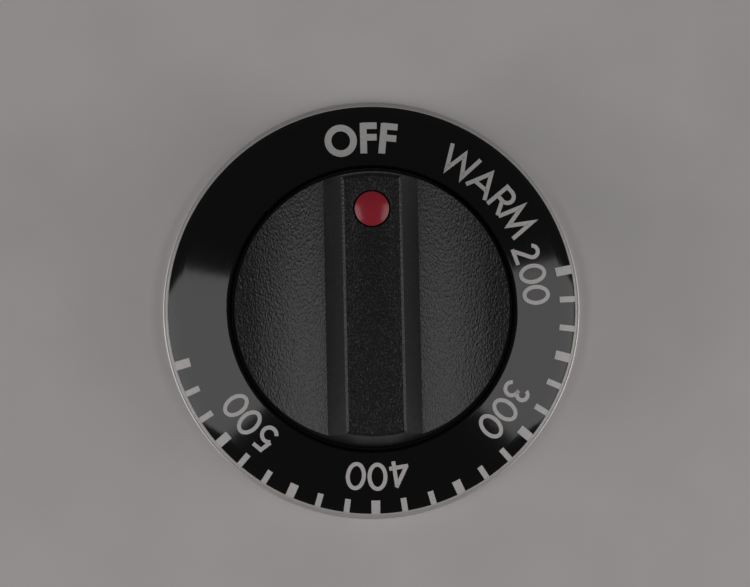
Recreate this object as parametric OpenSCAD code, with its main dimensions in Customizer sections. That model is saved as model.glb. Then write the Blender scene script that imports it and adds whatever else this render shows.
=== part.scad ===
// Oven thermostat knob: a moulded bar grip clamped by two screws into a pressed dial.
// The knob lies on its back. Z is the shaft axis, the rim lies on z = 0, and the
// indicator end of the bar points along +Y. All sizes are in millimetres.

/* [Dial] */
// Diameter over the bright rim
dial_d = 50.5; // [48:0.5:60]
// Width of the bright rim seen from the front
rim_w = 0.6; // [0.4:0.05:0.9]
// Height of the bright side wall
rim_h = 2; // [1.5:0.1:2.5]
// Width of the narrow flange that the side wall ends in
flange_w = 0.3; // [0.15:0.05:0.35]
// Thickness of that flange
flange_t = 0.45; // [0.3:0.05:0.6]
// Rounding of the flange's outer edge
flange_edge_r = 0.12; // [0.05:0.01:0.15]
// Slope of the face
face_slope = 24; // [20:1:28]
// Outer radius of the bend that the face runs out into
bend_r = 4.8; // [3.5:0.1:6]
// Slope of the bend where it meets the side wall
bend_slope = 45; // [35:1:50]
// Thickness of the sheet
sheet_t = 0.8; // [0.5:0.05:1]
// Radius of the lip round the hole in the face
lip_r = 0.45; // [0.2:0.05:0.6]
// Height of the web's upper side, on which the grip stands
web_top = 3.8; // [3.5:0.1:4.2]

/* [Scale] */
// Number of marks along the edge
mark_count = 22; // [10:1:28]
// Turn from one mark to the next, in degrees
mark_step = 8.42; // [6:0.01:10]
// Marks for each fifty degrees on the scale, of which the first is a wide one
marks_per_fifty = 3; // [2:1:5]
// Wide marks before the one that stands opposite the indicator
wide_before_middle = 4; // [2:1:4]
// Width of a wide mark
wide_mark_w = 1.06; // [0.8:0.01:1.3]
// Width of a narrow mark
narrow_mark_w = 0.7; // [0.4:0.01:0.9]
// Length of the marks, inwards from the edge of the face
mark_l = 1.9; // [1:0.05:2.5]
// How far the print sits off the dial's centre, towards the middle of the scale
print_shift = 0.3; // [0:0.05:0.4]
// Thickness of the ink
ink_t = 0.05; // [0.03:0.01:0.1]

/* [Grip] */
// Height of the whole knob
knob_h = 19.5; // [18:0.5:24]
// Diameter of the grip where it stands on the dial
grip_d = 33.5; // [31:0.1:35]
// Draft of the grip's round wall, in degrees
draft = 4; // [2:0.5:6]
// Width of the bar's flat top
bar_w = 7; // [6:0.1:8.5]
// Lean of the bar's flanks from upright, in degrees
flank_lean = 14.5; // [10:0.5:18]
// Radius of the finger scoops
scoop_r = 14; // [12:0.5:17]
// Distance of a scoop's lowest line from the axis
scoop_x = 14.8; // [13.5:0.1:15.5]
// Height of a scoop's lowest line
scoop_z = 7.8; // [7.5:0.1:9]
// Bevel along the bar's long edges
bar_bevel = 0.25; // [0.1:0.05:0.5]
// Rounding of the bar's ends
end_edge_r = 0.65; // [0.4:0.05:1]
// Thickness of the moulded wall
grip_wall = 1.8; // [1.2:0.1:2]
// Thickness of the ribs inside
rib_t = 1.4; // [1:0.1:2]
// Height of the ribs' lower edges above the grip's foot
rib_lift = 1.2; // [0.6:0.1:1.8]

/* [Shaft hole] */
// Diameter of the thermostat's shaft
shaft_d = 6.35; // [6:0.05:6.5]
// Thickness of the shaft across its flat
shaft_flat = 4.8; // [4.5:0.1:5.2]
// Radial clearance round the shaft
shaft_fit = 0.05; // [0.02:0.01:0.1]
// Depth of the shaft hole from the end of the hub
shaft_depth = 13; // [10:0.5:14]
// Diameter of the hub
hub_d = 12.4; // [12:0.1:13]
// Height of the hub's end above the surface that the rim lies on
hub_lift = 0.6; // [0.3:0.1:1]
// Thickness of the spring clip's steel strip
clip_t = 0.4; // [0.3:0.05:0.5]
// Width of the clip
clip_w = 3.4; // [3:0.1:4]
// Gap between the clip's two legs
clip_gap = 0.5; // [0.4:0.05:0.6]
// Height of the clip
clip_h = 7; // [5:0.5:9]

/* [Indicator] */
// Diameter of the indicator
dot_d = 4.05; // [3:0.05:4.4]
// Distance from the end of the grip's foot to the indicator's centre
dot_inset = 5.45; // [5:0.05:7]
// Height of its domed top above the bar
dot_dome = 0.45; // [0.2:0.05:0.8]
// Gap all round it
dot_gap = 0.2; // [0.1:0.05:0.3]
// Depth of its seat in the bar
dot_seat = 1.1; // [0.8:0.1:1.5]
// Diameter of its stem
dot_stem_d = 2.4; // [1.5:0.1:2.6]
// Length of its stem
dot_stem_l = 3.5; // [2:0.5:4]

/* [Calibration] */
// Distance from the axis to the locking screws
screw_r = 10.5; // [10.3:0.1:11]
// Diameter of a screw's thread
screw_d = 2.9; // [2.5:0.1:3]
// Length of a screw under its head
screw_l = 8; // [6:1:10]
// Diameter of a screw's head
screw_head_d = 5.6; // [5:0.1:6]
// Height of a screw's head
screw_head_h = 1.7; // [1.4:0.1:1.8]
// Diameter of the boss that a screw bites into
boss_d = 5.6; // [5:0.1:6]
// Diameter of a washer
washer_d = 7; // [6:0.1:7.2]
// Thickness of a washer
washer_t = 0.5; // [0.3:0.05:0.6]
// Clearance round a screw in its slot
slot_clear = 0.2; // [0.1:0.05:0.3]
// Clearance between the dial's web and what it slides on, above and below
slide_gap = 0.05; // [0.02:0.01:0.1]
// Radial clearance between the hub and the web's hole
hub_fit = 0.08; // [0.05:0.01:0.1]
// Radial gap between the grip's foot and the hole in the face
grip_gap = 0.2; // [0.15:0.05:0.4]
// Distance from the axis to the pointer on the back
pointer_r = 12.4; // [12:0.1:12.8]
// How far the pointer reaches out through the web
pointer_drop = 0.4; // [0.2:0.05:0.8]
// Radial length of the pointer
pointer_l = 1.5; // [1:0.1:1.6]
// Width of the pointer at its root
pointer_w = 1.1; // [0.8:0.1:1.4]
// Turn that one notch stands for, in degrees on the thermostat's own scale
notch_value = 10; // [5:5:25]
// Diameter of a notch
notch_d = 0.6; // [0.4:0.05:0.8]

/* [Hidden] */
$fn = 96;
// How far a cut runs past the face that it starts from
past = 0.5;
// Radial play of a pin, a stem or a clip in its seat
pin_fit = 0.02;
// Height of the ink's underside above the face
ink_lift = 0.01;

// Outline of the face, the bend and the side wall
dial_r = dial_d / 2;
wall_top_r = dial_r - rim_w;
wall_foot_r = dial_r - flange_w;
wall_lean = atan((wall_foot_r - wall_top_r) / (rim_h - flange_t));
face_side = [sin(face_slope), cos(face_slope)];
bend_centre = [wall_top_r, rim_h] - bend_r * [sin(bend_slope), cos(bend_slope)];
hole_r = grip_d / 2 + grip_gap;

// Levels under the grip
web_bottom = web_top - sheet_t;
grip_foot = web_top + slide_gap;
washer_top = web_bottom - slide_gap;
head_top = washer_top - washer_t;
screw_tip = head_top + screw_l;

// The scale, and the turn that the locking screws allow each way
mark_inner_r = wall_top_r - mark_l;
fifty_turn = marks_per_fifty * mark_step;
middle_mark = marks_per_fifty * wide_before_middle;

// Openings in the web
web_hole_r = hub_d / 2 + hub_fit;
slot_w = screw_d + 2 * slot_clear;
window_inner_r = pointer_r - pointer_l / 2 - slot_clear;
window_outer_r = pointer_r + pointer_l / 2 + slot_clear;
window_half_turn = fifty_turn + asin((pointer_w / 2 + slot_clear) / window_inner_r);
notches_each_way = floor(50 / notch_value);
notch_step = fifty_turn * notch_value / 50;

// The shaft hole, its flat and the pocket for the clip
hub_r = hub_d / 2;
bore_r = shaft_d / 2 + shaft_fit;
shaft_flat_y = shaft_flat - shaft_d / 2;
pocket_depth = clip_gap + 2 * clip_t;
bore_top = hub_lift + shaft_depth;

// Where the indicator sits
dot_y = grip_d / 2 - dot_inset;
dot_floor = knob_h - dot_seat;

// A ring sector that reaches half_turn to each side of the +X axis
module sector(inner_r, outer_r, h, half_turn) {
    rotate([0, 0, -half_turn])
        rotate_extrude(angle = 2 * half_turn)
            translate([inner_r, 0])
                square([outer_r - inner_r, h]);
}

// What lies between a convex corner and the circle of radius r that touches both its sides.
// The sides leave the corner in the directions a and b, in degrees.
module corner_waste(corner, a, b, r) {
    half = (b - a) / 2;
    middle = [cos((a + b) / 2), sin((a + b) / 2)];
    reach = r / tan(half);
    difference() {
        polygon([
            corner - past * middle,
            corner + reach * [cos(a), sin(a)],
            corner + r / sin(half) * middle,
            corner + reach * [cos(b), sin(b)]
        ]);
        translate(corner + r / sin(half) * middle)
            circle(r);
    }
}

// Half section of what lies under the face, the bend and the side wall, all moved in by inset
module under_face(inset) {
    bend = bend_r - inset;
    face_foot = bend_centre + bend * face_side;
    wall_top = wall_top_r - inset / cos(wall_lean);
    wall_bottom = wall_top + rim_h * tan(wall_lean);
    polygon([
        [hole_r, 0],
        [face_foot[0], 0],
        face_foot,
        [hole_r, face_foot[1] + (face_foot[0] - hole_r) * tan(face_slope)]
    ]);
    intersection() {
        translate(bend_centre)
            circle(bend);
        polygon([
            [face_foot[0], 0],
            [wall_bottom, 0],
            [wall_bottom - face_foot[1] * tan(wall_lean), face_foot[1]],
            face_foot
        ]);
    }
}

// Half section of the pressed dial: face, bend, side wall, flange, collar and web
module dial_section() {
    face_foot = bend_centre + bend_r * face_side;
    hole_z = face_foot[1] + (face_foot[0] - hole_r) * tan(face_slope);
    collar_top = hole_z - sheet_t;
    difference() {
        union() {
            difference() {
                union() {
                    under_face(0);
                    translate([wall_top_r, 0])
                        square([rim_w, flange_t]);
                }
                under_face(sheet_t);
            }
            translate([hole_r, web_bottom])
                square([sheet_t, collar_top - web_bottom]);
            translate([web_hole_r, web_bottom])
                square([hole_r + sheet_t - web_hole_r, sheet_t]);
        }
        corner_waste([hole_r, hole_z], 270, 360 - face_slope, lip_r);
        corner_waste([dial_r, flange_t], 180, 270, flange_edge_r);
    }
}

// The dial is pressed from sheet: its face slopes to a bright rim, and its web carries the grip
module dial_skirt() {
    color("#1b1b1c")
        difference() {
            rotate_extrude()
                dial_section();
            translate([0, 0, web_bottom - past]) {
                for (side = [90, -90])
                    rotate([0, 0, side])
                        screw_slot(sheet_t + 2 * past);
                pointer_window(sheet_t + 2 * past);
            }
        }
}

// The slot in the web that a locking screw runs in
module screw_slot(h) {
    sector(screw_r - slot_w / 2, screw_r + slot_w / 2, h, fifty_turn);
    for (end = [-fifty_turn, fifty_turn])
        rotate([0, 0, end])
            translate([screw_r, 0, 0])
                cylinder(h = h, d = slot_w);
}

// The window in the web whose notched edge the pointer is read against
module pointer_window(h) {
    sector(window_inner_r, window_outer_r, h, window_half_turn);
    for (i = [-notches_each_way : notches_each_way])
        rotate([0, 0, i * notch_step])
            translate([window_outer_r, 0, 0])
                cylinder(h = h, d = notch_d);
}

// The printed marks: every third one, from the first, is wide. They run out over the face's edge.
module scale_marks() {
    color("#beb6b2")
        intersection() {
            rotate_extrude()
                difference() {
                    under_face(-ink_t);
                    under_face(-ink_lift);
                }
            cylinder(h = knob_h, r = wall_top_r);
            translate([0, -print_shift, 0])
                for (i = [0 : mark_count - 1])
                    rotate([0, 0, 180 - (i - middle_mark) * mark_step])
                        mark(i % marks_per_fifty == 0 ? wide_mark_w : narrow_mark_w);
        }
}

// A block through the face that leaves one mark of width w
module mark(w) {
    translate([-w / 2, mark_inner_r, 0])
        cube([w, dial_r - mark_inner_r, knob_h]);
}

// Section across the bar, looking along it, with every wall moved in by inset:
// the bar with its leaning flanks, and below it the block with two concave finger scoops
module across_bar(inset) {
    top = knob_h - inset;
    foot = inset > 0 ? grip_foot - past : grip_foot;
    top_half = bar_w / 2 + inset * tan(flank_lean) - inset / cos(flank_lean);
    foot_half = top_half + (top - foot) * tan(flank_lean);
    polygon([
        [-foot_half, foot],
        [foot_half, foot],
        [top_half + bar_bevel * tan(flank_lean), top - bar_bevel],
        [top_half - bar_bevel, top],
        [bar_bevel - top_half, top],
        [-top_half - bar_bevel * tan(flank_lean), top - bar_bevel]
    ]);
    difference() {
        translate([-grip_d / 2, foot])
            square([grip_d, scoop_z + scoop_r / 2 - foot]);
        for (side = [-1, 1])
            translate([side * scoop_x, scoop_z + scoop_r])
                circle(scoop_r + inset);
    }
}

// Half section of the grip's round wall with its draft, moved in by inset
module round_wall(inset) {
    top = knob_h - inset;
    foot = inset > 0 ? grip_foot - past : grip_foot;
    foot_r = grip_d / 2 - inset / cos(draft) + (grip_foot - foot) * tan(draft);
    top_r = foot_r - (top - foot) * tan(draft);
    difference() {
        polygon([[0, foot], [foot_r, foot], [top_r, top], [0, top]]);
        if (inset == 0)
            corner_waste([top_r, top], 180, 270 + draft, end_edge_r);
    }
}

// The grip's outer form, moved in by inset: round from the front, scooped to each side of the bar
module grip_form(inset) {
    intersection() {
        rotate_extrude()
            round_wall(inset);
        rotate([90, 0, 0])
            linear_extrude(2 * grip_d, center = true)
                across_bar(inset);
    }
}

// What stands in the hollow under the grip: the hub, two screw bosses, and a cross of ribs
// that ties them to the wall. All of it runs up into the roof.
module grip_inside() {
    foot = grip_foot - past;
    rib_foot = grip_foot + rib_lift;
    translate([0, 0, foot])
        cylinder(h = bore_top + grip_wall - foot, r = hub_r);
    for (side = [-1, 1])
        translate([0, side * screw_r, foot])
            cylinder(h = knob_h - foot, d = boss_d);
    translate([-rib_t / 2, -grip_d / 2, rib_foot])
        cube([rib_t, grip_d, knob_h - rib_foot]);
    translate([-grip_d / 2, -rib_t / 2, rib_foot])
        cube([grip_d, rib_t, knob_h - rib_foot]);
}

// The pointer on the back: a nib that hangs from a rib into the web's window
module pointer() {
    root = pointer_r - pointer_l / 2;
    translate([0, 0, web_bottom - pointer_drop])
        linear_extrude(grip_foot + rib_lift + past - web_bottom + pointer_drop)
            polygon([[root, -pointer_w / 2], [root + pointer_l, 0], [root, pointer_w / 2]]);
}

// The shaft hole, with its flat on the -Y side and the clip's pocket behind that flat
module shaft_hole() {
    intersection() {
        translate([0, 0, hub_lift - past])
            cylinder(h = shaft_depth + past, r = bore_r);
        translate([-hub_r, -shaft_flat_y - shaft_fit, 0])
            cube([hub_d, hub_d, bore_top + past]);
    }
    translate([-clip_w / 2 - pin_fit, -shaft_flat_y - pocket_depth - pin_fit, hub_lift - past])
        cube([clip_w + 2 * pin_fit, pocket_depth + pin_fit, clip_h + past + pin_fit]);
}

// The moulded handle, hollow underneath
module grip() {
    color("#141414")
        difference() {
            union() {
                difference() {
                    grip_form(0);
                    difference() {
                        grip_form(grip_wall);
                        grip_inside();
                    }
                }
                translate([0, 0, hub_lift])
                    cylinder(h = grip_foot + past - hub_lift, r = hub_r);
                pointer();
            }
            shaft_hole();
            for (side = [-1, 1])
                translate([0, side * screw_r, grip_foot - past])
                    cylinder(h = screw_tip - grip_foot + 2 * past, d = screw_d + 2 * pin_fit);
            translate([0, dot_y, dot_floor])
                cylinder(h = dot_seat + past, d = dot_d + 2 * dot_gap);
            translate([0, dot_y, dot_floor - dot_stem_l - past])
                cylinder(h = dot_stem_l + 2 * past, d = dot_stem_d + 2 * pin_fit);
        }
}

// The red plug with its domed head and its stem
module indicator() {
    dome_r = (dot_d * dot_d / 4 + dot_dome * dot_dome) / (2 * dot_dome);
    color("#b03040")
        translate([0, dot_y, 0])
            rotate_extrude() {
                translate([0, dot_floor])
                    square([dot_d / 2, dot_seat]);
                intersection() {
                    translate([0, knob_h + dot_dome - dome_r])
                        circle(dome_r);
                    translate([0, dot_floor])
                        square([dot_d / 2, dot_seat + dot_dome]);
                }
                translate([0, dot_floor - dot_stem_l])
                    square([dot_stem_d / 2, dot_stem_l + past]);
            }
}

// The hairpin of spring steel that presses on the shaft's flat, seen from the side
module clip_side(inset) {
    half = pocket_depth / 2 - inset;
    straight = clip_h - pocket_depth / 2;
    translate([-half, -inset])
        square([2 * half, straight + inset]);
    translate([0, straight])
        circle(half);
}

module shaft_clip() {
    color("#8d9094")
        translate([0, -shaft_flat_y - pocket_depth / 2, hub_lift])
            rotate([90, 0, 90])
                linear_extrude(clip_w, center = true)
                    difference() {
                        clip_side(0);
                        clip_side(clip_t);
                    }
}

// One pan head screw, tip up, with a cross recess in its head
module locking_screw() {
    recess_w = screw_head_d / 6;
    recess_l = screw_head_d * 0.6;
    recess_h = screw_head_h * 0.6;
    difference() {
        union() {
            rotate_extrude()
                difference() {
                    translate([0, -screw_head_h])
                        square([screw_head_d / 2, screw_head_h]);
                    corner_waste([screw_head_d / 2, -screw_head_h], 90, 180, screw_head_h / 2);
                }
            translate([0, 0, -past])
                cylinder(h = screw_l + past, d = screw_d);
        }
        for (turn = [0, 90])
            rotate([0, 0, turn])
                translate([-recess_l / 2, -recess_w / 2, -screw_head_h - past])
                    cube([recess_l, recess_w, recess_h + past]);
    }
}

module locking_screws() {
    color("#a9a9a6")
        for (side = [-1, 1])
            translate([0, side * screw_r, head_top])
                locking_screw();
}

module washers() {
    color("#b4b4b0")
        for (side = [-1, 1])
            translate([0, side * screw_r, head_top])
                difference() {
                    cylinder(h = washer_t, d = washer_d);
                    translate([0, 0, -past])
                        cylinder(h = washer_t + 2 * past, d = screw_d + 2 * slot_clear);
                }
}

dial_skirt();
scale_marks();
grip();
indicator();
shaft_clip();
locking_screws();
washers();
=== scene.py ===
import math

import bpy
from mathutils import Matrix, Vector


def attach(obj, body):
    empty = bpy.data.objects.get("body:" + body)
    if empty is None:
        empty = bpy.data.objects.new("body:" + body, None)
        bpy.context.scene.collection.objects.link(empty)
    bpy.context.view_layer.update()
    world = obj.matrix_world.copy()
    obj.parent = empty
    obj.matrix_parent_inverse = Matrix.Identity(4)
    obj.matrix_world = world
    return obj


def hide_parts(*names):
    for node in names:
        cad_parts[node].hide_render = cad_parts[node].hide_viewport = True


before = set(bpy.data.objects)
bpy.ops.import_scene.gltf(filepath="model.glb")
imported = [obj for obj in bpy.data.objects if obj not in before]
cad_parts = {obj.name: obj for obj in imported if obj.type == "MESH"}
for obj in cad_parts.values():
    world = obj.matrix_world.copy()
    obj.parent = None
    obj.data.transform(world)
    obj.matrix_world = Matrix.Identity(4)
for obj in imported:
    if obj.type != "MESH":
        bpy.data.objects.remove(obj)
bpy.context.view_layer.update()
bpy.ops.object.select_all(action="DESELECT")
scene = bpy.context.scene
scene.view_settings.view_transform = "Standard"


# Camera
# It stands about 0.7 m above the table and leans a little towards the foot of the scale and
# to the left, and the knob lies turned by about one degree in its picture.
PIXELS_PER_MM = 8.24
PICTURE_WIDTH_PX = 750
KNOB_LEFT_OF_MIDDLE_PX = 3.6
KNOB_BELOW_MIDDLE_PX = 17.15
CAMERA_DISTANCE = 0.7
LEAN_DOWN = math.radians(2.4)
LEAN_LEFT = math.radians(0.9)
PICTURE_TURN = math.radians(1.2)

picture_up = Vector((math.sin(PICTURE_TURN), math.cos(PICTURE_TURN), 0))
picture_right = Vector((math.cos(PICTURE_TURN), -math.sin(PICTURE_TURN), 0))
px = 0.001 / PIXELS_PER_MM
look_at = picture_right * KNOB_LEFT_OF_MIDDLE_PX * px + picture_up * KNOB_BELOW_MIDDLE_PX * px
back = Vector((0, 0, 1)) - picture_up * math.tan(LEAN_DOWN) - picture_right * math.tan(LEAN_LEFT)
back.normalize()
side = picture_up.cross(back).normalized()
up = back.cross(side)
camera = bpy.data.objects.new("camera", bpy.data.cameras.new("camera"))
scene.collection.objects.link(camera)
turned = Matrix((side, up, back)).transposed().to_4x4()
camera.matrix_world = Matrix.Translation(look_at + CAMERA_DISTANCE * back) @ turned
camera.data.lens = camera.data.sensor_width * CAMERA_DISTANCE / (PICTURE_WIDTH_PX * px)
camera.data.clip_start = 0.01
scene.camera = camera


# Lights
# Two soft boxes, one on each side, whose mirror images lie on the sloping face as two grey
# fields, and a dim room all round.
BOX_DISTANCE = 0.6
BOX_HEIGHT_ANGLE = math.radians(31)
BOX_WIDTH = 0.47
BOX_DEPTH = 0.6
BOX_POWER = 1.55


def soft_box(name, clock_angle, width):
    """A soft box that stands at this angle, clockwise from the +Y axis, and faces the knob."""
    bearing = math.radians(90 - clock_angle)
    lamp = bpy.data.lights.new(name, "AREA")
    lamp.shape = "RECTANGLE"
    lamp.size = width
    lamp.size_y = BOX_DEPTH
    lamp.energy = BOX_POWER
    box = bpy.data.objects.new(name, lamp)
    flat = BOX_DISTANCE * math.cos(BOX_HEIGHT_ANGLE)
    box.location = (flat * math.cos(bearing), flat * math.sin(bearing),
                    BOX_DISTANCE * math.sin(BOX_HEIGHT_ANGLE))
    box.rotation_euler = Vector(box.location).to_track_quat("Z", "Y").to_euler()
    scene.collection.objects.link(box)
    return box


soft_box("soft_box_right", 101.7, BOX_WIDTH * 1.05)
soft_box("soft_box_left", 258.7, BOX_WIDTH)

room = bpy.data.worlds.new("room")
room.use_nodes = True
room.node_tree.nodes["Background"].inputs["Color"].default_value = (0.95, 0.97, 1.0, 1)
room.node_tree.nodes["Background"].inputs["Strength"].default_value = 0.08
scene.world = room


# Table
# A plain pale sheet that the knob lies on.
def new_material(name):
    """A material with nodes, its Principled shader, and its links."""
    material = bpy.data.materials.new(name)
    material.use_nodes = True
    tree = material.node_tree
    return material, tree.nodes, tree.links, tree.nodes["Principled BSDF"]


def add_node(nodes, kind, **settings):
    """One shader node. A setting whose name is a socket's goes to that socket."""
    node = nodes.new(kind)
    for name, value in settings.items():
        if name in node.inputs:
            node.inputs[name].default_value = value
        else:
            setattr(node, name, value)
    return node


bpy.ops.mesh.primitive_plane_add(size=3, location=(0, 0, -0.00002))
table = bpy.context.object
table.name = "table"
material, nodes, links, shader = new_material("table_sheet")
place = add_node(nodes, "ShaderNodeTexCoord")
cloud = add_node(nodes, "ShaderNodeTexNoise", Scale=60, Detail=3)
tone = add_node(nodes, "ShaderNodeValToRGB")
tone.color_ramp.elements[0].position = 0.3
tone.color_ramp.elements[0].color = (0.60, 0.57, 0.56, 1)
tone.color_ramp.elements[1].position = 0.7
tone.color_ramp.elements[1].color = (0.65, 0.62, 0.605, 1)
links.new(place.outputs["Object"], cloud.inputs["Vector"])
links.new(cloud.outputs["Fac"], tone.inputs["Fac"])
links.new(tone.outputs["Color"], shader.inputs["Base Color"])
shader.inputs["Roughness"].default_value = 0.6
table.data.materials.append(material)


# Dial
# Pressed from aluminium sheet. The face has a glossy black coating over fine turning marks;
# the side wall, the narrow flange below it and the whole back are bare, bright metal.
FACE_EDGE_R = 0.02465
FACE_EDGE_Z = 0.0015

material, nodes, links, shader = new_material("dial_finish")
place = add_node(nodes, "ShaderNodeTexCoord")
axes = add_node(nodes, "ShaderNodeSeparateXYZ")
links.new(place.outputs["Object"], axes.inputs["Vector"])
xx = add_node(nodes, "ShaderNodeMath", operation="MULTIPLY")
yy = add_node(nodes, "ShaderNodeMath", operation="MULTIPLY")
rr = add_node(nodes, "ShaderNodeMath", operation="ADD")
radius = add_node(nodes, "ShaderNodeMath", operation="SQRT")
turn = add_node(nodes, "ShaderNodeMath", operation="ARCTAN2")
for square, axis in ((xx, "X"), (yy, "Y")):
    links.new(axes.outputs[axis], square.inputs[0])
    links.new(axes.outputs[axis], square.inputs[1])
links.new(xx.outputs[0], rr.inputs[0])
links.new(yy.outputs[0], rr.inputs[1])
links.new(rr.outputs[0], radius.inputs[0])
links.new(axes.outputs["Y"], turn.inputs[0])
links.new(axes.outputs["X"], turn.inputs[1])
ring_place = add_node(nodes, "ShaderNodeCombineXYZ")
ring_r = add_node(nodes, "ShaderNodeMath", operation="MULTIPLY")
ring_r.inputs[1].default_value = 6000
ring_turn = add_node(nodes, "ShaderNodeMath", operation="MULTIPLY")
ring_turn.inputs[1].default_value = 9
links.new(radius.outputs[0], ring_r.inputs[0])
links.new(turn.outputs[0], ring_turn.inputs[0])
links.new(ring_r.outputs[0], ring_place.inputs["X"])
links.new(ring_turn.outputs[0], ring_place.inputs["Y"])
rings = add_node(nodes, "ShaderNodeTexNoise", Scale=1, Detail=2, Roughness=0.6)
links.new(ring_place.outputs[0], rings.inputs["Vector"])

outside = add_node(nodes, "ShaderNodeMath", operation="GREATER_THAN")
outside.inputs[1].default_value = FACE_EDGE_R
links.new(radius.outputs[0], outside.inputs[0])
normal = add_node(nodes, "ShaderNodeSeparateXYZ")
links.new(place.outputs["Normal"], normal.inputs["Vector"])
downward = add_node(nodes, "ShaderNodeMath", operation="LESS_THAN")
downward.inputs[1].default_value = 0.1
links.new(normal.outputs["Z"], downward.inputs[0])
bare = add_node(nodes, "ShaderNodeMath", operation="MAXIMUM")
links.new(outside.outputs[0], bare.inputs[0])
links.new(downward.outputs[0], bare.inputs[1])

colour = add_node(nodes, "ShaderNodeMix", data_type="RGBA")
colour.inputs[6].default_value = (0.002, 0.002, 0.0021, 1)
colour.inputs[7].default_value = (0.78, 0.76, 0.74, 1)
links.new(bare.outputs[0], colour.inputs["Factor"])
links.new(colour.outputs[2], shader.inputs["Base Color"])
links.new(bare.outputs[0], shader.inputs["Metallic"])
gloss = add_node(nodes, "ShaderNodeMapRange")
gloss.inputs["To Min"].default_value = 0.07
gloss.inputs["To Max"].default_value = 0.16
links.new(rings.outputs["Fac"], gloss.inputs["Value"])
rougher = add_node(nodes, "ShaderNodeMath", operation="MULTIPLY_ADD")
rougher.inputs[1].default_value = 0.34
links.new(bare.outputs[0], rougher.inputs[0])
links.new(gloss.outputs["Result"], rougher.inputs[2])
links.new(rougher.outputs[0], shader.inputs["Roughness"])
marks = add_node(nodes, "ShaderNodeBump", Strength=1.0, Distance=0.0000015)
links.new(rings.outputs["Fac"], marks.inputs["Height"])
links.new(marks.outputs["Normal"], shader.inputs["Normal"])
dial_finish = material
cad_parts["dial_skirt"].data.materials.clear()
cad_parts["dial_skirt"].data.materials.append(dial_finish)


# Printed scale
# Flat pale ink, screen-printed on the coated face: a word or a number for each place of the
# thermostat. The print sits a little off the dial's centre.
PRINT_SHIFT = 0.0003
FACE_SLOPE = math.radians(24)
FACE_TOP_R = 0.02321
FACE_TOP_Z = 0.00299
INK_TOP = 0.00005
NUMBER_H = 0.00338
NUMBER_FOOT_R = 0.01822
NUMBER_STROKE = 0.00048
WARM_H = 0.0035
WARM_FOOT_R = 0.01904
WARM_STROKE = 0.0005
OFF_H = 0.0038
OFF_FOOT_R = 0.0191
OFF_STROKE = 0.00082


def arc(x, y, rx, ry, start, end, steps=20):
    """Points of an arc round (x, y); the angles are in degrees, anticlockwise from +X."""
    angles = [math.radians(start + (end - start) * i / steps) for i in range(steps + 1)]
    return [(x + rx * math.cos(a), y + ry * math.sin(a)) for a in angles]


def face_height(r):
    """Height of the sloping face at this distance from the axis."""
    return FACE_TOP_Z + (FACE_TOP_R - r) * math.tan(FACE_SLOPE)


# Each letter is drawn as pen strokes in units of its height, about its own middle line
letters = {
    "0": [arc(0, 0.5, 0.285, 0.43, 0, 360, 40)],
    "2": [arc(0, 0.72, 0.21, 0.21, 165, -38) + [(-0.2, 0.12)], [(-0.3, 0.07), (0.29, 0.07)]],
    "3": [arc(0, 0.735, 0.195, 0.195, 160, -110), arc(0, 0.3, 0.235, 0.235, 100, -160)],
    "4": [[(0.14, 0), (0.14, 0.9)], [(0.17, 0.93), (-0.3, 0.24)], [(-0.36, 0.24), (0.32, 0.24)]],
    "5": [[(0.22, 0.93), (-0.14, 0.93), (-0.24, 0.52)], arc(-0.03, 0.33, 0.26, 0.26, 140, -150)],
    "W": [[(-0.56, 1), (-0.3, 0.12), (0, 0.88), (0.3, 0.12), (0.56, 1)]],
    "A": [[(-0.42, 0), (0, 0.88), (0.42, 0)], [(-0.28, 0.3), (0.28, 0.3)]],
    "R": [[(-0.25, 0), (-0.25, 0.93), (0, 0.93)] + arc(0, 0.7, 0.23, 0.23, 90, -90)
          + [(-0.25, 0.47)], [(0, 0.47), (0.28, 0)]],
    "M": [[(-0.46, 0), (-0.32, 0.88), (0, 0.12), (0.32, 0.88), (0.46, 0)]],
    "O": [arc(0, 0.5, 0.405, 0.42, 0, 360, 48)],
    "F": [[(-0.16, 0), (-0.16, 1)], [(-0.2, 0.905), (0.27, 0.905)], [(-0.2, 0.525), (0.26, 0.525)]],
}
# What is printed, with the angle of each letter, clockwise from the indicator's place
words = (
    ("OFF", (350.85, 0.05, 6.5), OFF_H, OFF_FOOT_R, OFF_STROKE),
    ("WARM", (31.8, 42.0, 50.7, 59.0), WARM_H, WARM_FOOT_R, WARM_STROKE),
    ("200", (70.5, 77.9, 85.3), NUMBER_H, NUMBER_FOOT_R, NUMBER_STROKE),
    ("300", (120.1, 127.6, 135.1), NUMBER_H, NUMBER_FOOT_R, NUMBER_STROKE),
    ("400", (171.7, 179.3, 186.8), NUMBER_H, NUMBER_FOOT_R, NUMBER_STROKE),
    ("500", (221.3, 229.1, 236.6), NUMBER_H, NUMBER_FOOT_R, NUMBER_STROKE),
)


def pen_stroke(points, width, longest):
    """The two edges of a stroke, as a left and a right point at each place along it."""
    places = [Vector(points[0])]
    for a, b in zip(points, points[1:]):
        a, b = Vector(a), Vector(b)
        steps = max(1, math.ceil((b - a).length / longest))
        places += [a.lerp(b, i / steps) for i in range(1, steps + 1)]
    closed = (places[0] - places[-1]).length < 1e-6
    edges = []
    for i, here in enumerate(places):
        before = places[i - 1] if i else (places[-2] if closed else None)
        after = places[i + 1] if i + 1 < len(places) else (places[1] if closed else None)
        come = (here - before).normalized() if before is not None else None
        go = (after - here).normalized() if after is not None else come
        come = come or go
        middle = (come + go).normalized()
        across = Vector((-middle.y, middle.x))
        reach = width / 2 / max(0.2, across.dot(Vector((-go.y, go.x))))
        edges.append((here + across * reach, here - across * reach))
    return edges


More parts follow.
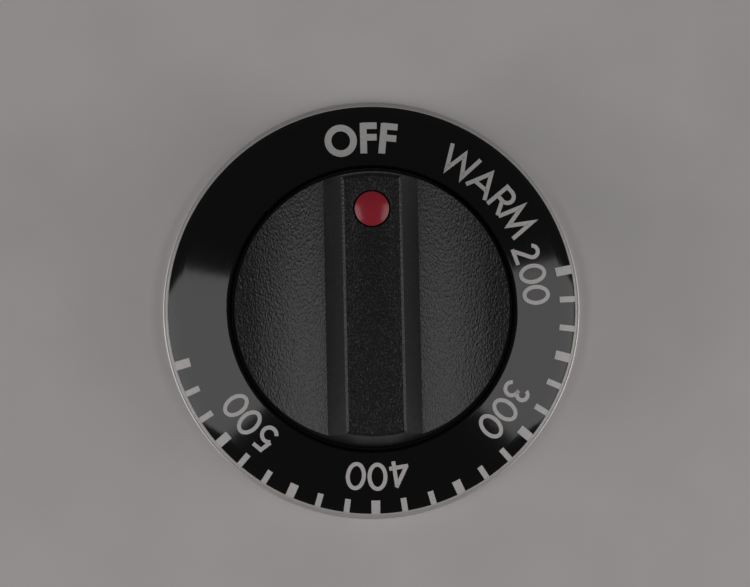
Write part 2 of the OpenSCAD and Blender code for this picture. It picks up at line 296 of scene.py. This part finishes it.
corners = []
faces = []
for word, angles, height, foot_r, width in words:
    for letter, angle in zip(word, angles):
        out = Vector((math.sin(math.radians(angle)), math.cos(math.radians(angle))))
        across = Vector((out.y, -out.x))
        for points in letters[letter]:
            edges = pen_stroke(points, width / height, 0.1)
            for i, edge in enumerate(edges):
                for x, y in edge:
                    spot = out * (foot_r + y * height) + across * x * height
                    spot.y -= PRINT_SHIFT
                    corners.append((spot.x, spot.y, face_height(spot.length) + INK_TOP))
                if i:
                    n = len(corners)
                    faces.append((n - 4, n - 2, n - 1, n - 3))
mesh = bpy.data.meshes.new("printed_words")
mesh.from_pydata(corners, [], faces)
printed_words = bpy.data.objects.new("printed_words", mesh)
scene.collection.objects.link(printed_words)

material, nodes, links, shader = new_material("pale_ink")
place = add_node(nodes, "ShaderNodeTexCoord")
grain = add_node(nodes, "ShaderNodeTexNoise", Scale=5000, Detail=3)
tone = add_node(nodes, "ShaderNodeValToRGB")
tone.color_ramp.elements[0].position = 0.3
tone.color_ramp.elements[0].color = (0.55, 0.52, 0.51, 1)
tone.color_ramp.elements[1].position = 0.7
tone.color_ramp.elements[1].color = (0.66, 0.63, 0.62, 1)
links.new(place.outputs["Object"], grain.inputs["Vector"])
links.new(grain.outputs["Fac"], tone.inputs["Fac"])
links.new(tone.outputs["Color"], shader.inputs["Base Color"])
shader.inputs["Roughness"].default_value = 0.5
printed_words.data.materials.append(material)
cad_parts["scale_marks"].data.materials.clear()
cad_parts["scale_marks"].data.materials.append(material)
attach(printed_words, "dial")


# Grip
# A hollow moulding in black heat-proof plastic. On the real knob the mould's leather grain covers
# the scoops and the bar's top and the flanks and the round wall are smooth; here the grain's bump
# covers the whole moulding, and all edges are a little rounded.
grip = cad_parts["grip"].copy()
grip.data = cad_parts["grip"].data.copy()
grip.name = "moulded_grip"
grip.parent = None
scene.collection.objects.link(grip)
grip.select_set(True)
bpy.context.view_layer.objects.active = grip
bpy.ops.object.mode_set(mode="EDIT")
bpy.ops.mesh.select_all(action="SELECT")
bpy.ops.mesh.remove_doubles(threshold=0.000001)
bpy.ops.mesh.dissolve_limited(angle_limit=math.radians(0.5))
bpy.ops.object.mode_set(mode="OBJECT")
bevel = grip.modifiers.new("rounded_edges", "BEVEL")
bevel.width = 0.00014
bevel.segments = 3
bevel.limit_method = "ANGLE"
bevel.angle_limit = math.radians(30)
bpy.ops.object.modifier_apply(modifier=bevel.name)
bpy.ops.object.shade_smooth_by_angle(angle=math.radians(30))
grip.select_set(False)

material, nodes, links, shader = new_material("grained_moulding")
place = add_node(nodes, "ShaderNodeTexCoord")
axes = add_node(nodes, "ShaderNodeSeparateXYZ")
links.new(place.outputs["Object"], axes.inputs["Vector"])
stretch = add_node(nodes, "ShaderNodeMapping")
stretch.inputs["Scale"].default_value = (1, 0.6, 1)
links.new(place.outputs["Object"], stretch.inputs["Vector"])
wander = add_node(nodes, "ShaderNodeTexNoise", Scale=4200, Detail=3, Roughness=0.55, Distortion=0.6)
links.new(stretch.outputs["Vector"], wander.inputs["Vector"])
pores = add_node(nodes, "ShaderNodeTexVoronoi", Scale=5000, feature="SMOOTH_F1")
links.new(stretch.outputs["Vector"], pores.inputs["Vector"])
leather = add_node(nodes, "ShaderNodeMath", operation="ADD")
links.new(wander.outputs["Fac"], leather.inputs[0])
links.new(pores.outputs["Distance"], leather.inputs[1])
grain = add_node(nodes, "ShaderNodeBump", Strength=1.0, Distance=0.00006)
links.new(leather.outputs[0], grain.inputs["Height"])
links.new(grain.outputs["Normal"], shader.inputs["Normal"])
shader.inputs["Base Color"].default_value = (0.006, 0.0058, 0.0055, 1)
shader.inputs["Roughness"].default_value = 0.36
grip.data.materials.clear()
grip.data.materials.append(material)
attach(grip, "grip")
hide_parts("grip")


# Indicator
# A turned plug of red plastic, pressed into its seat in the bar.
material, nodes, links, shader = new_material("red_plastic")
place = add_node(nodes, "ShaderNodeTexCoord")
cloud = add_node(nodes, "ShaderNodeTexNoise", Scale=1500, Detail=4)
tone = add_node(nodes, "ShaderNodeValToRGB")
tone.color_ramp.elements[0].color = (0.31, 0.016, 0.028, 1)
tone.color_ramp.elements[1].color = (0.38, 0.022, 0.038, 1)
links.new(place.outputs["Object"], cloud.inputs["Vector"])
links.new(cloud.outputs["Fac"], tone.inputs["Fac"])
links.new(tone.outputs["Color"], shader.inputs["Base Color"])
shader.inputs["Roughness"].default_value = 0.22
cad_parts["indicator"].data.materials.clear()
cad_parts["indicator"].data.materials.append(material)


# Screws, washers and shaft clip
# Plain zinc-plated steel, and the hairpin of spring steel in the hub.
material, nodes, links, shader = new_material("zinc_plate")
place = add_node(nodes, "ShaderNodeTexCoord")
cloud = add_node(nodes, "ShaderNodeTexNoise", Scale=900, Detail=4)
tone = add_node(nodes, "ShaderNodeValToRGB")
tone.color_ramp.elements[0].color = (0.42, 0.42, 0.40, 1)
tone.color_ramp.elements[1].color = (0.62, 0.62, 0.60, 1)
links.new(place.outputs["Object"], cloud.inputs["Vector"])
links.new(cloud.outputs["Fac"], tone.inputs["Fac"])
links.new(tone.outputs["Color"], shader.inputs["Base Color"])
shader.inputs["Metallic"].default_value = 1
shader.inputs["Roughness"].default_value = 0.35
for name in ("locking_screws", "washers", "shaft_clip"):
    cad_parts[name].data.materials.clear()
    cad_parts[name].data.materials.append(material)
